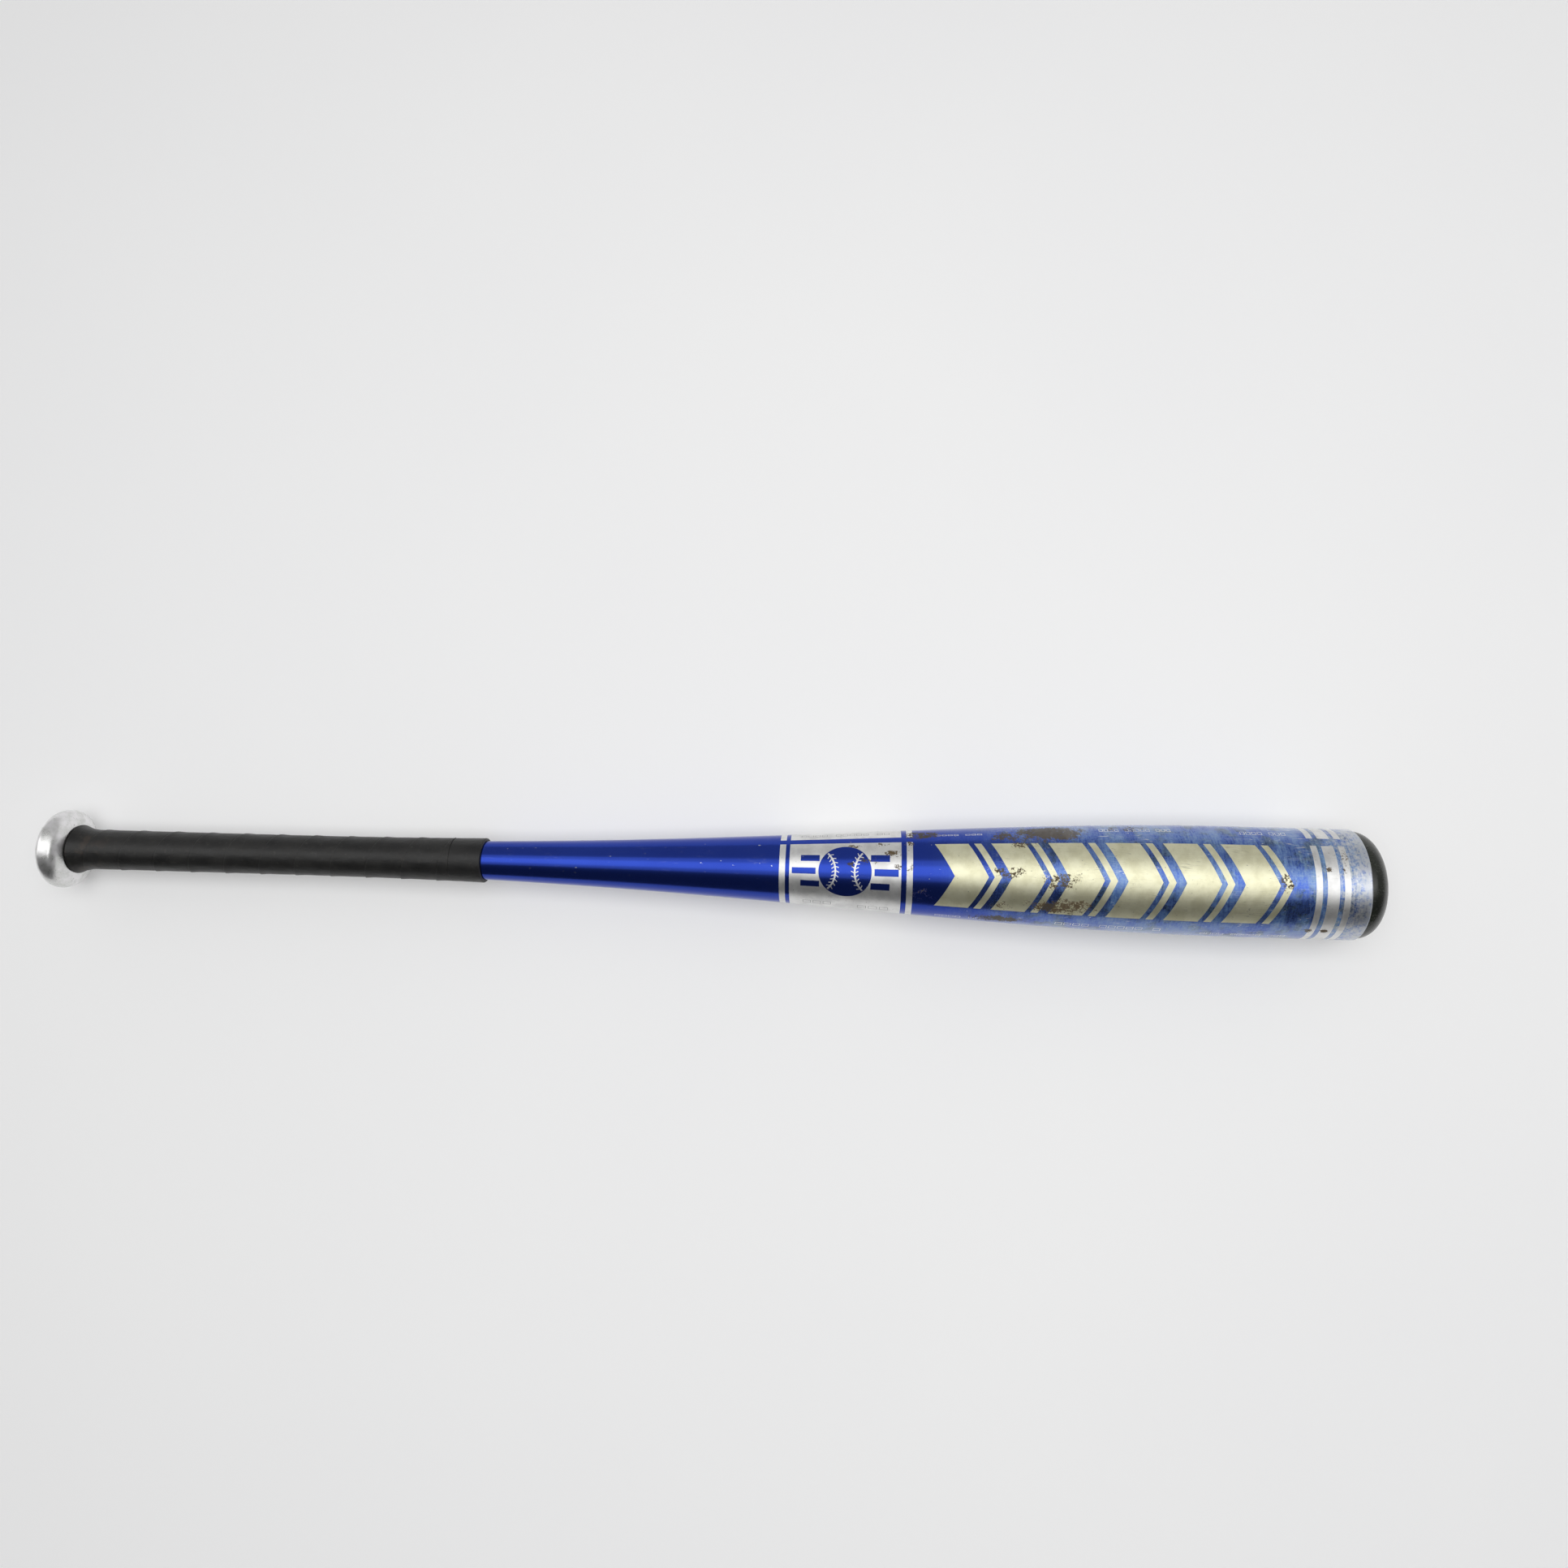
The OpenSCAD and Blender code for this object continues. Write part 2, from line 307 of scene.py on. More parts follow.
grime_places = worn_places(barrel_wear, [
    (598, -60, 36, 28, 1.35), (574, -54, 18, 18, 1.0), (525, -62, 20, 18, 0.95), (640, -70, 26, 16, 0.8),
    (569, 64, 28, 16, 1.1), (524, 28, 15, 22, 0.7), (603, 34, 36, 20, 1.05), (568, 38, 18, 12, 0.8),
    (603, 4, 20, 21, 0.92), (573, -5, 18, 15, 0.8), (582, -39, 16, 9, 0.85), (726, -2, 9, 20, 0.8),
    (508, -27, 10, 11, 1.0), (496, -17, 13, 10, 0.82), (511, -9, 6, 10, 0.9), (487, -40, 7, 8, 0.8),
    (502, -42, 11, 7, 0.82), (484, -12, 7, 10, 0.75), (518, -42, 6, 10, 0.85), (518, -8, 6, 14, 0.7),
    (748, -18, 5, 8, 0.9), (750, 53, 5, 7, 0.95), (741, 54, 5, 7, 0.9), (758, -26, 7, 26, 0.7),
    (700, -170, 60, 30, 0.55), (610, 130, 60, 30, 0.5)])
fine = speckle(barrel_wear, place, 820.0, 6, 0.70)
broad = speckle(barrel_wear, place, 190.0, 3, 0.5)
grains = sums(barrel_wear, "ADD", sums(barrel_wear, "MULTIPLY", fine, 0.62),
              sums(barrel_wear, "MULTIPLY", broad, 0.38))
limit = sums(barrel_wear, "SUBTRACT", 0.69, sums(barrel_wear, "MULTIPLY", grime_places, 0.26))
grime = ramp(barrel_wear, sums(barrel_wear, "SUBTRACT", grains, limit), -0.005, 0.06)
barrel_wear.links.new(sums(barrel_wear, "MULTIPLY", grime, into["Grime"]), out["Grime"])

haze_start = ramp(barrel_wear, along, 520.0, 640.0, 0.0, 0.62)
haze_end = ramp(barrel_wear, along, 720.0, 770.0, 0.0, 0.2)
cloud = speckle(barrel_wear, stretched(barrel_wear, place, (1, 0.6, 0.6)), 75.0, 7, 0.68)
haze = sums(barrel_wear, "MULTIPLY", sums(barrel_wear, "ADD", haze_start, haze_end),
            ramp(barrel_wear, cloud, 0.36, 0.64, 0.42, 1.2))
barrel_wear.links.new(haze, out["Haze"])

even_grain = speckle(barrel_wear, place, 900.0, 4, 0.6)
drawn_grain = speckle(barrel_wear, stretched(barrel_wear, place, (1100, 110, 110), (0, 0, 8)), 1.0, 5, 0.6)
turn_grain = sums(barrel_wear, "MULTIPLY", 0.5, sums(barrel_wear, "ADD", even_grain, drawn_grain))
barrel_wear.links.new(turn_grain, out["Grain"])

rub_places = worn_places(barrel_wear, [
    (565, -4, 16, 16, 0.7), (592, -2, 14, 18, 0.75), (540, 30, 30, 16, 0.35), (765, 0, 9, 200, 0.85),
    (752, 0, 26, 200, 0.5), (660, 0, 90, 40, 0.38), (715, -20, 30, 40, 0.42), (610, -50, 40, 12, 0.5)])
rubbing = sums(barrel_wear, "ADD", sums(barrel_wear, "MULTIPLY", turn_grain, 0.5),
               sums(barrel_wear, "MULTIPLY", speckle(barrel_wear, place, 420.0, 5, 0.65), 0.5))
limit = sums(barrel_wear, "SUBTRACT", 0.72, sums(barrel_wear, "MULTIPLY", rub_places, 0.25))
rub = ramp(barrel_wear, sums(barrel_wear, "SUBTRACT", rubbing, limit), 0.0, 0.05)
ragged = sums(barrel_wear, "ADD", along, sums(barrel_wear, "MULTIPLY", rubbing, 120.0))
stripped = ramp(barrel_wear, ragged, 808.0, 834.0)
rub = sums(barrel_wear, "MAXIMUM", rub, sums(barrel_wear, "MULTIPLY", stripped, 0.88))
barrel_wear.links.new(sums(barrel_wear, "MULTIPLY", rub, into["Rub"]), out["Rub"])


def scratches(tree, turn, scale, width, gate_scale, gate):
    """Thin lines drawn out in one direction, broken up by a coarser noise."""
    drawn = speckle(tree, stretched(tree, place, scale, turn), 1.0, 1.0)
    off_line = sums(tree, "ABSOLUTE", sums(tree, "SUBTRACT", drawn, 0.5))
    gaps = ramp(tree, speckle(tree, place, gate_scale, 2), gate, gate + 0.06)
    return sums(tree, "MULTIPLY", ramp(tree, off_line, width, 0.0), gaps)


scratch = sums(barrel_wear, "MAXIMUM", scratches(barrel_wear, (0, 0, 24), (30, 420, 200), 0.012, 60.0, 0.54),
               scratches(barrel_wear, (0, 0, -68), (40, 460, 260), 0.010, 85.0, 0.57))
scratch = sums(barrel_wear, "MULTIPLY", scratch, ramp(barrel_wear, along, 520.0, 620.0, 0.06, 0.8))
flecks = speckle(barrel_wear, stretched(barrel_wear, place, (380, 700, 700), (0, 0, 40)), 1.0, 2)
specks = ramp(barrel_wear, flecks, 0.735, 0.77)
scratch = sums(barrel_wear, "MAXIMUM", scratch, specks)
barrel_wear.links.new(scratch, out["Scratch"])

blue_dye = (0.028, 0.062, 0.39, 1)
blue_haze = (0.21, 0.40, 0.58, 1)
bare_metal = (0.60, 0.62, 0.64, 1)
grime_brown = (0.045, 0.033, 0.022, 1)

blue, tree, shader, place = new_material("blue anodised", Metallic=1.0, Coat_Roughness=0.2, Coat_IOR=1.8)
wear = use_group(tree, barrel_wear)
tint = blend_colour(tree, speckle(tree, place, 26.0, 3), (0.021, 0.045, 0.31, 1), blue_dye)
tint = blend_colour(tree, wear["Haze"], tint, (0.018, 0.085, 0.42, 1))
navy = ramp(tree, speckle(tree, place, 105.0, 6, 0.66), 0.50, 0.62)
navy = sums(tree, "MULTIPLY", navy, ramp(tree, wear["Haze"], 0.0, 0.3))
tint = blend_colour(tree, sums(tree, "MULTIPLY", navy, 0.9, clamp=True), tint, (0.012, 0.028, 0.10, 1))
hazed = sums(tree, "MULTIPLY", wear["Haze"], ramp(tree, wear["Grain"], 0.38, 0.60, 0.5, 1.2))
tint = blend_colour(tree, sums(tree, "MULTIPLY", hazed, 0.64, clamp=True), tint, blue_haze)
marked = sums(tree, "MAXIMUM", wear["Rub"], sums(tree, "MULTIPLY", wear["Scratch"], 0.8))
tint = blend_colour(tree, marked, tint, bare_metal)
tint = blend_colour(tree, wear["Grime"], tint, grime_brown)
tree.links.new(tint, shader.inputs["Base Color"])
gloss = sums(tree, "ADD", 0.20, sums(tree, "MULTIPLY", hazed, 0.32))
gloss = sums(tree, "ADD", gloss, sums(tree, "MULTIPLY", wear["Grime"], 0.4))
tree.links.new(sums(tree, "ADD", gloss, sums(tree, "MULTIPLY", wear["Rub"], 0.1)), shader.inputs["Roughness"])
kept = sums(tree, "SUBTRACT", 1.0, wear["Rub"])
clouded = sums(tree, "MULTIPLY", sums(tree, "MULTIPLY", hazed, kept), 0.62)
cover = sums(tree, "MAXIMUM", wear["Grime"], clouded)
tree.links.new(ramp(tree, cover, 0.0, 1.0, 1.0, 0.15), shader.inputs["Metallic"])
tree.links.new(sums(tree, "MULTIPLY", hazed, 1.5, clamp=True), shader.inputs["Coat Weight"])
dents = sums(tree, "SUBTRACT", sums(tree, "MULTIPLY", wear["Grain"], 0.25),
             sums(tree, "MULTIPLY", marked, 0.5))
bump(tree, shader, sums(tree, "ADD", dents, sums(tree, "MULTIPLY", wear["Grime"], 0.6)), 0.00003, 0.7)

bore_r = barrel_r - tube_wall
outline = [(x, skin_r(x)) for x in steps(tube_x0, taper_x0, 30)]
outline += [(x, skin_r(x)) for x in steps(taper_x0, taper_x1, 110)[1:]]
outline += arc(lip_x - lip_round, barrel_r - skin_sink - lip_round, lip_round, 0, 90, 8)
outline += [(lip_x, mouth_r), (lip_x - lip_t, mouth_r)]
outline += arc(lip_x - lip_t - lip_round, bore_r - lip_round, lip_round, 90, 0)
outline += [(x, tube_r(x) - tube_wall) for x in reversed(steps(tube_x0, taper_x1, 24))]
finish_piece(turned(outline), "tube_shell", blue, "shell", "shell")

# ---------------------------------------------------------------------------------------------
# The prints: silver and pale gold metal ink, screened on to the blue before the clear coat.
# They wrap the barrel as bands and as flat shapes laid round it. The marks are plain ones: a row
# of chevrons, a ball with its seams, and rows of small empty frames where fine print would be.
# ---------------------------------------------------------------------------------------------

ink_t = 0.000015


def thicken(bm, lift, depth=ink_t):
    """Gives a sheet that lies on the tube its thickness, and sinks its underside."""
    new = bmesh.ops.extrude_face_region(bm, geom=bm.faces[:])["geom"]
    tops = {v for v in new if isinstance(v, bmesh.types.BMVert)}
    for v in bm.verts:
        r = Vector((0, v.co.y, v.co.z)).length
        grow = 1 + (lift if v in tops else lift - depth) / r
        v.co.y *= grow
        v.co.z *= grow
    bmesh.ops.recalc_face_normals(bm, faces=bm.faces)
    return bm


def band(x0, x1, a0, a1, lift=ink_t):
    """A printed band from x0 to x1, from the angle a0 round to a1, in degrees from the top."""
    outline = [(x, skin_r(x)) for x in steps(x0, x1, max(2, round((x1 - x0) / 0.003)))]
    bm = turned(outline, False, round(abs(a1 - a0) / 1.5), radians(a1 - a0), radians(a0))
    return thicken(bm, lift)


def lay_round(bm, lift, radius=None):
    """Cuts a flat sheet of (x, round) shapes finely and lays it round the tube.
    The second axis is degrees, or metres round the tube where a radius is given."""
    lo = [min(v.co[i] for v in bm.verts) for i in (0, 1)]
    hi = [max(v.co[i] for v in bm.verts) for i in (0, 1)]
    per_degree = radians(1) * radius if radius else 1.0
    for axis, gap in ((0, 0.003), (1, 1.5 * per_degree)):
        normal = (1, 0, 0) if axis == 0 else (0, 1, 0)
        count = int((hi[axis] - lo[axis]) / gap)
        for i in range(1, count + 1):
            point = [0, 0, 0]
            point[axis] = lo[axis] + (hi[axis] - lo[axis]) * i / (count + 1)
            bmesh.ops.bisect_plane(bm, geom=bm.verts[:] + bm.edges[:] + bm.faces[:], dist=1e-7,
                                   plane_co=point, plane_no=normal)
    for v in bm.verts:
        a = radians(v.co.y / per_degree)
        r = skin_r(v.co.x)
        v.co = (v.co.x, -r * sin(a), r * cos(a))
    return thicken(bm, lift)


def flat_shapes(*shapes):
    """A flat sheet of straight-sided shapes."""
    bm = bmesh.new()
    for points in shapes:
        bm.faces.new([bm.verts.new((x, y, 0)) for x, y in points])
    bmesh.ops.remove_doubles(bm, verts=bm.verts, dist=1e-7)
    return bm


def ink_material(name, clean, shaded, gloss, grime_share, rub_share):
    """Metal ink with cloudy wear, turning grain, nicks and grime."""
    material, tree, shader, place = new_material(name, Metallic=1.0)
    wear = use_group(tree, barrel_wear, {"Grime": grime_share, "Rub": rub_share})
    tint = blend_colour(tree, ramp(tree, speckle(tree, place, 130.0, 5, 0.6), 0.36, 0.66), clean, shaded)
    nicks = ramp(tree, speckle(tree, place, 700.0, 4, 0.65), 0.675, 0.73)
    dark = sums(tree, "MAXIMUM", sums(tree, "MULTIPLY", wear["Scratch"], 0.45),
                sums(tree, "MULTIPLY", nicks, 0.7))
    tint = blend_colour(tree, dark, tint, (0.10, 0.09, 0.07, 1))
    tint = blend_colour(tree, wear["Grime"], tint, (0.09, 0.062, 0.03, 1))
    tree.links.new(tint, shader.inputs["Base Color"])
    rough = sums(tree, "ADD", gloss, sums(tree, "MULTIPLY", wear["Grain"], 0.12))
    rough = sums(tree, "ADD", rough, sums(tree, "MULTIPLY", wear["Grime"], 0.3))
    tree.links.new(rough, shader.inputs["Roughness"])
    tree.links.new(ramp(tree, wear["Grime"], 0.0, 1.0, 1.0, 0.2), shader.inputs["Metallic"])
    height = sums(tree, "SUBTRACT", sums(tree, "MULTIPLY", wear["Grain"], 0.5), wear["Grime"])
    bump(tree, shader, sums(tree, "SUBTRACT", height, dark), 0.00003, 0.6)
    return material


silver_ink = ink_material("silver ink", (0.80, 0.80, 0.79, 1), (0.66, 0.66, 0.655, 1), 0.36, 1.0, 0.0)
gold_ink = ink_material("pale gold ink", (0.79, 0.775, 0.57, 1), (0.68, 0.66, 0.46, 1), 0.38, 1.0, 0.0)

seam_lo, seam_hi = -46.5, -57.0
once_round = 360 + seam_hi
for name, x0, x1 in (("ring_lower", 0.4434, 0.4469), ("panel_silver", 0.4493, 0.5133),
                     ("ring_upper", 0.5163, 0.5198)):
    finish_piece(band(x0, x1, seam_lo, once_round), name, silver_ink, "shell")
for number, (x0, x1) in enumerate(((0.7411, 0.7446), (0.7472, 0.7539), (0.7565, 0.7600))):
    finish_piece(band(x0, x1, -43.5, 305.5), f"end_stripe_{number + 1}", silver_ink, "shell")

# Chevrons in pale gold, a broad and a narrow one in turn, pointing at the cap.
chevron_lo, chevron_mid, chevron_hi = -42.0, 1.2, 44.5
chevron_x0, chevron_pitch, chevron_reach = 0.5323, 0.0319, 0.011
for number in range(6):
    shapes = []
    for start, width in ((0.0, 0.019), (0.0222, 0.004)):
        x = chevron_x0 + chevron_pitch * number + start
        tip = x + chevron_reach
        shapes.append([(x, chevron_lo), (x + width, chevron_lo),
                       (tip + width, chevron_mid), (tip, chevron_mid)])
        shapes.append([(tip, chevron_mid), (tip + width, chevron_mid),
                       (x + width, chevron_hi), (x, chevron_hi)])
    finish_piece(lay_round(flat_shapes(*shapes), ink_t), f"chevrons_{number + 1}", gold_ink, "shell")

# Emblem: a blue ball with speed bars, on the silver panel.
emblem_x = 0.4813
emblem_r = tube_r(emblem_x)
ball_r = 0.0152
bm = bmesh.new()
bmesh.ops.create_circle(bm, cap_ends=True, segments=120, radius=ball_r)
bmesh.ops.translate(bm, verts=bm.verts, vec=(emblem_x, 0, 0))
finish_piece(lay_round(bm, 2 * ink_t, emblem_r), "emblem_ball", blue, "shell")

bars, bar_half = [], 0.0019
for side in (-1, 1):
    for row, reach in ((-0.0078, 0.0255), (0.0, 0.0305), (0.0078, 0.0255)):
        inner = (ball_r ** 2 - row ** 2) ** 0.5 + 0.0016
        ends = sorted((emblem_x + side * inner, emblem_x + side * reach))
        bars.append([(ends[0], row - bar_half), (ends[1], row - bar_half),
                     (ends[1], row + bar_half), (ends[0], row + bar_half)])
finish_piece(lay_round(flat_shapes(*bars), 2 * ink_t, emblem_r), "emblem_bars", blue, "shell")

seam_r, seam_off, seam_half = 0.0150, 0.0205, 0.0005
stitch_off, stitch_lean = 0.0012, 0.5
bm = bmesh.new()
for side in (-1, 1):
    centre = (emblem_x + side * seam_off, 0, 0)
    half = acos((seam_off ** 2 + seam_r ** 2 - (ball_r - 0.0006) ** 2) / (2 * seam_off * seam_r))
    ends = [bm.verts.new((centre[0] - side * r * cos(half), -r * sin(half), 0))
            for r in (seam_r - seam_half, seam_r + seam_half)]
    bmesh.ops.spin(bm, geom=ends + [bm.edges.new(ends)], cent=centre, axis=(0, 0, -side),
                   angle=2 * half, steps=28)
    for a in steps(-half * 0.82, half * 0.82, 8):
        for lean in (-1, 1):
            r, tilt = seam_r + lean * stitch_off, a - side * lean * stitch_lean
            middle = (centre[0] - side * r * cos(a), r * sin(a))
            along_x, along_y = cos(tilt), -side * sin(tilt)
            length, width = 0.0010, 0.00025
            bm.faces.new([bm.verts.new((middle[0] + u * length * along_x - w * width * along_y,
                                        middle[1] + u * length * along_y + w * width * along_x, 0))
                          for u, w in ((-1, -1), (1, -1), (1, 1), (-1, 1))])
finish_piece(lay_round(bm, 3 * ink_t, emblem_r), "emblem_seams", silver_ink, "shell")

frame_r, frame_line = 0.028, 0.0004


def frame_rows(rows, lift):
    """Rows of small empty frames: (start, end, angle, height in degrees, count)."""
    bm = bmesh.new()
    for x0, x1, angle, height, count in rows:
        pitch = (x1 - x0) / count
        for i in range(count):
            if count > 5 and i % 6 == 4:
                continue
            a, b = x0 + pitch * (i + 0.1), x0 + pitch * (i + 0.9)
            bm.faces.new([bm.verts.new((x, y * radians(1) * frame_r, 0)) for x, y in (
                (a, angle - height / 2), (b, angle - height / 2),
                (b, angle + height / 2), (a, angle + height / 2))])
    bm.normal_update()
    centres = bm.faces[:]
    bmesh.ops.inset_individual(bm, faces=centres, thickness=frame_line)
    bmesh.ops.delete(bm, geom=centres, context="FACES")
    return lay_round(bm, lift, frame_r)


finish_piece(frame_rows([
    (0.533, 0.560, -59.5, 3.0, 8), (0.626, 0.667, -64.5, 5.5, 14), (0.705, 0.731, -61.5, 5.5, 8),
    (0.533, 0.560, 68.0, 5.0, 7), (0.601, 0.661, 63.5, 6.0, 12), (0.683, 0.731, 68.0, 4.0, 14)],
    ink_t), "fine_frames", silver_ink, "shell")
dull_ink, tree, shader, place = new_material("grey outline ink", Roughness=0.5, Metallic=0.6)
tone = speckle(tree, place, 700.0, 3)
tint = blend_colour(tree, tone, (0.16, 0.16, 0.17, 1), (0.42, 0.42, 0.42, 1))
tree.links.new(tint, shader.inputs["Base Color"])
finish_piece(frame_rows([
    (0.455, 0.507, -69.0, 6.5, 13), (0.4565, 0.474, 60.0, 8.5, 3), (0.488, 0.507, 63.0, 8.5, 3)],
    2 * ink_t), "panel_frames", dull_ink, "shell")

# ---------------------------------------------------------------------------------------------
# The knob: a rounded disc of cast aluminium with a flared neck, welded to the end of the tube.
# It is left bare, tumbled smooth and dulled by handling. The weld bead runs down to the tube.
# ---------------------------------------------------------------------------------------------

knob_r = knob_hi.z
knob_half, knob_cut, knob_square = 0.00883, 0.00033, 2.41
knob_mid = knob_half - knob_cut
neck_h, neck_l, neck_curve = 0.00295, 0.009, 1.4
socket_x = 0.0068
face_a = -asin((knob_mid / knob_half) ** (knob_square / 2))
back_a = acos(((handle_r + neck_h) / knob_r) ** (knob_square / 2))
neck_x0 = knob_mid + knob_half * sin(back_a) ** (2 / knob_square)
neck_x1 = neck_x0 + neck_l


def under_r(x):
    """The surface that the grip lies on: the neck's flare, the weld, then the bare tube."""
    if x < neck_x1:
        return handle_r + neck_h * min(max((neck_x1 - x) / neck_l, 0), 1) ** neck_curve
    return tube_r(x)


cast_metal, tree, shader, place = new_material("cast aluminium", Metallic=1.0)
cloud = speckle(tree, place, 150.0, 6, 0.66)
pits = ramp(tree, speckle(tree, place, 520.0, 3, 0.5), 0.675, 0.74)
scuffs = scratches(tree, (20, 35, 10), (90, 600, 400), 0.02, 150.0, 0.5)
tint = blend_colour(tree, ramp(tree, cloud, 0.35, 0.65), (0.66, 0.665, 0.65, 1), (0.87, 0.86, 0.87, 1))
tint = blend_colour(tree, sums(tree, "MULTIPLY", scuffs, 0.35), tint, (0.86, 0.86, 0.86, 1))
tint = blend_colour(tree, sums(tree, "MULTIPLY", pits, 0.45), tint, (0.16, 0.15, 0.14, 1))
tree.links.new(tint, shader.inputs["Base Color"])
tree.links.new(sums(tree, "ADD", 0.17, sums(tree, "MULTIPLY", cloud, 0.26)), shader.inputs["Roughness"])
lumps = sums(tree, "MULTIPLY", speckle(tree, place, 330.0, 4, 0.6), 0.6)
height = sums(tree, "SUBTRACT", lumps, sums(tree, "MULTIPLY", pits, 0.5))
waves = sums(tree, "MULTIPLY", speckle(tree, place, 120.0, 2), 3.0)
bump(tree, shader, sums(tree, "ADD", height, waves), 0.0001, 0.5)

rim = []
for a in steps(face_a, back_a, 96):
    bulge = abs(sin(a)) ** (2 / knob_square) * (1 if a > 0 else -1)
    rim.append((knob_mid + knob_half * bulge, knob_r * cos(a) ** (2 / knob_square)))
rim[0] = (0.0, rim[0][1])
neck_split = neck_x0 + neck_l / 2
outline = [(0.0, 0.0)] + rim + [(x, under_r(x)) for x in steps(neck_x0, neck_split, 12)[1:]]
outline += [(neck_split, handle_r), (socket_x, handle_r), (socket_x, 0.0)]
finish_piece(turned(outline, closed=False, count=192), "knob_cast", cast_metal, "knob", "knob")

weld_metal, tree, shader, place = new_material("weld bead", Metallic=1.0, Roughness=0.4)
tint = blend_colour(tree, speckle(tree, place, 500.0, 4), (0.36, 0.35, 0.33, 1), (0.62, 0.61, 0.6, 1))
tree.links.new(tint, shader.inputs["Base Color"])
bump(tree, shader, speckle(tree, place, 900.0, 2), 0.0001, 0.5)
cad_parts["knob_weld"].data.materials.clear()
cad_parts["knob_weld"].data.materials.append(weld_metal)

# ---------------------------------------------------------------------------------------------
# The grip: an adhesive cloth backing, and over it one long strip of synthetic leather wound on
# from the knob as a left-handed helix. Its edges are pared thin, so each turn laps the last.
# ---------------------------------------------------------------------------------------------

layer_gap, backing_t, strip_t = 0.00006, 0.00035, 0.0012
strip_pitch, strip_lap, strip_edge = 0.0215, 0.002, 0.00025
wrap_lo, wrap_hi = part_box("grip_wrap")


def seat_r(x):
    """Radius of the backing's outside, which the strip is wound on."""
    return under_r(x) + backing_t + 2 * layer_gap


def leather(name, dark, light, dust):
    """Black synthetic leather: worn smooth, with creases, dust in its hollows and brown rubs."""
    material, tree, shader, place = new_material(name, Specular_IOR_Level=0.42)
    grain = put(tree, "ShaderNodeTexVoronoi", {"Vector": place, "Scale": 1300.0},
                feature="SMOOTH_F1").outputs[0]
    cloud = speckle(tree, place, 75.0, 5, 0.62)
    creases = speckle(tree, stretched(tree, place, (60, 340, 340)), 1.0, 4, 0.6)
    tint = blend_colour(tree, ramp(tree, cloud, 0.3, 0.7), dark, light)
    dusty = sums(tree, "MULTIPLY", ramp(tree, speckle(tree, place, 360.0, 5, 0.65), 0.55, 0.72), dust)
    tint = blend_colour(tree, dusty, tint, (0.06, 0.055, 0.05, 1))
    along = sums(tree, "MULTIPLY", put(tree, "ShaderNodeSeparateXYZ", {"Vector": place}).outputs["X"], 1000.0)
    rubbed = sums(tree, "MULTIPLY", ramp(tree, along, 52.0, 17.0),
                  ramp(tree, speckle(tree, place, 130.0, 4, 0.6), 0.50, 0.64, 0.0, 0.5))
    tint = blend_colour(tree, rubbed, tint, (0.045, 0.031, 0.023, 1))
    tree.links.new(tint, shader.inputs["Base Color"])
    rough = sums(tree, "ADD", 0.24, sums(tree, "MULTIPLY", cloud, 0.40))
    tree.links.new(sums(tree, "ADD", rough, sums(tree, "MULTIPLY", dusty, 0.3)), shader.inputs["Roughness"])
    dents = speckle(tree, stretched(tree, place, (90, 170, 170)), 1.0, 3, 0.55)
    height = sums(tree, "ADD", sums(tree, "MULTIPLY", grain, 0.3), creases)
    bump(tree, shader, sums(tree, "ADD", height, sums(tree, "MULTIPLY", dents, 3.5)), 0.0002, 0.5)
    return material


strip_leather = leather("black grip leather", (0.0045, 0.0045, 0.0045, 1), (0.0105, 0.0102, 0.0095, 1), 0.3)

lap_h = strip_t + layer_gap
across_strip = [
    (0.0, lap_h), (0.0, lap_h + 0.00014), (0.00015, lap_h + 0.00023), (0.0005, lap_h + strip_edge),
    (0.0015, lap_h + 0.0002), (0.003, lap_h + 0.00008), (0.006, strip_t), (0.011, strip_t + 0.00003),
    (0.016, strip_t + 0.00003), (strip_pitch - 0.0015, strip_t), (strip_pitch, strip_t - 0.00003),
    (strip_pitch + strip_lap, strip_edge), (strip_pitch + strip_lap, 0.0), (0.012, 0.0),
    (strip_lap + 0.0005, 0.0), (strip_lap, strip_edge + layer_gap)]
coil_steps = 72
# The sweep starts two turns before the cut, so that its open start is cut away whole.
start_x = wrap_lo.x - 2 * strip_pitch
turns = int((wrap_hi.x - start_x) / strip_pitch) + 1
mandrel_r = 0.05
bm = bmesh.new()
section = [bm.verts.new((start_x + x, 0, -mandrel_r - h)) for x, h in across_strip]
section += [bm.edges.new(pair) for pair in zip(section, section[1:] + section[:1])]
bmesh.ops.spin(bm, geom=section, cent=(0, 0, 0), axis=(-1, 0, 0), dvec=(strip_pitch / coil_steps, 0, 0),
               angle=2 * pi, steps=coil_steps)
one_turn = bm.verts[:] + bm.edges[:] + bm.faces[:]
for number in range(1, turns):
    copied = bmesh.ops.duplicate(bm, geom=one_turn)["geom"]
    bmesh.ops.translate(bm, verts=[e for e in copied if isinstance(e, bmesh.types.BMVert)],
                        vec=(strip_pitch * number, 0, 0))
bmesh.ops.remove_doubles(bm, verts=bm.verts, dist=1e-6)
for limit_x, keep in ((wrap_lo.x, 1), (wrap_hi.x, -1)):
    cut = bmesh.ops.bisect_plane(bm, geom=bm.verts[:] + bm.edges[:] + bm.faces[:], dist=1e-7,
                                 plane_co=(limit_x, 0, 0), plane_no=(keep, 0, 0),
                                 clear_inner=True)["geom_cut"]
    bmesh.ops.holes_fill(bm, edges=[e for e in cut if isinstance(e, bmesh.types.BMEdge)], sides=0)
for v in bm.verts:
    reach = Vector((0, v.co.y, v.co.z)).length
    shrink = (seat_r(v.co.x) + reach - mandrel_r) / reach
    v.co.y *= shrink
    v.co.z *= shrink
bmesh.ops.recalc_face_normals(bm, faces=bm.faces)
finish_piece(bm, "grip_strip", strip_leather, "grip", "grip_wrap")

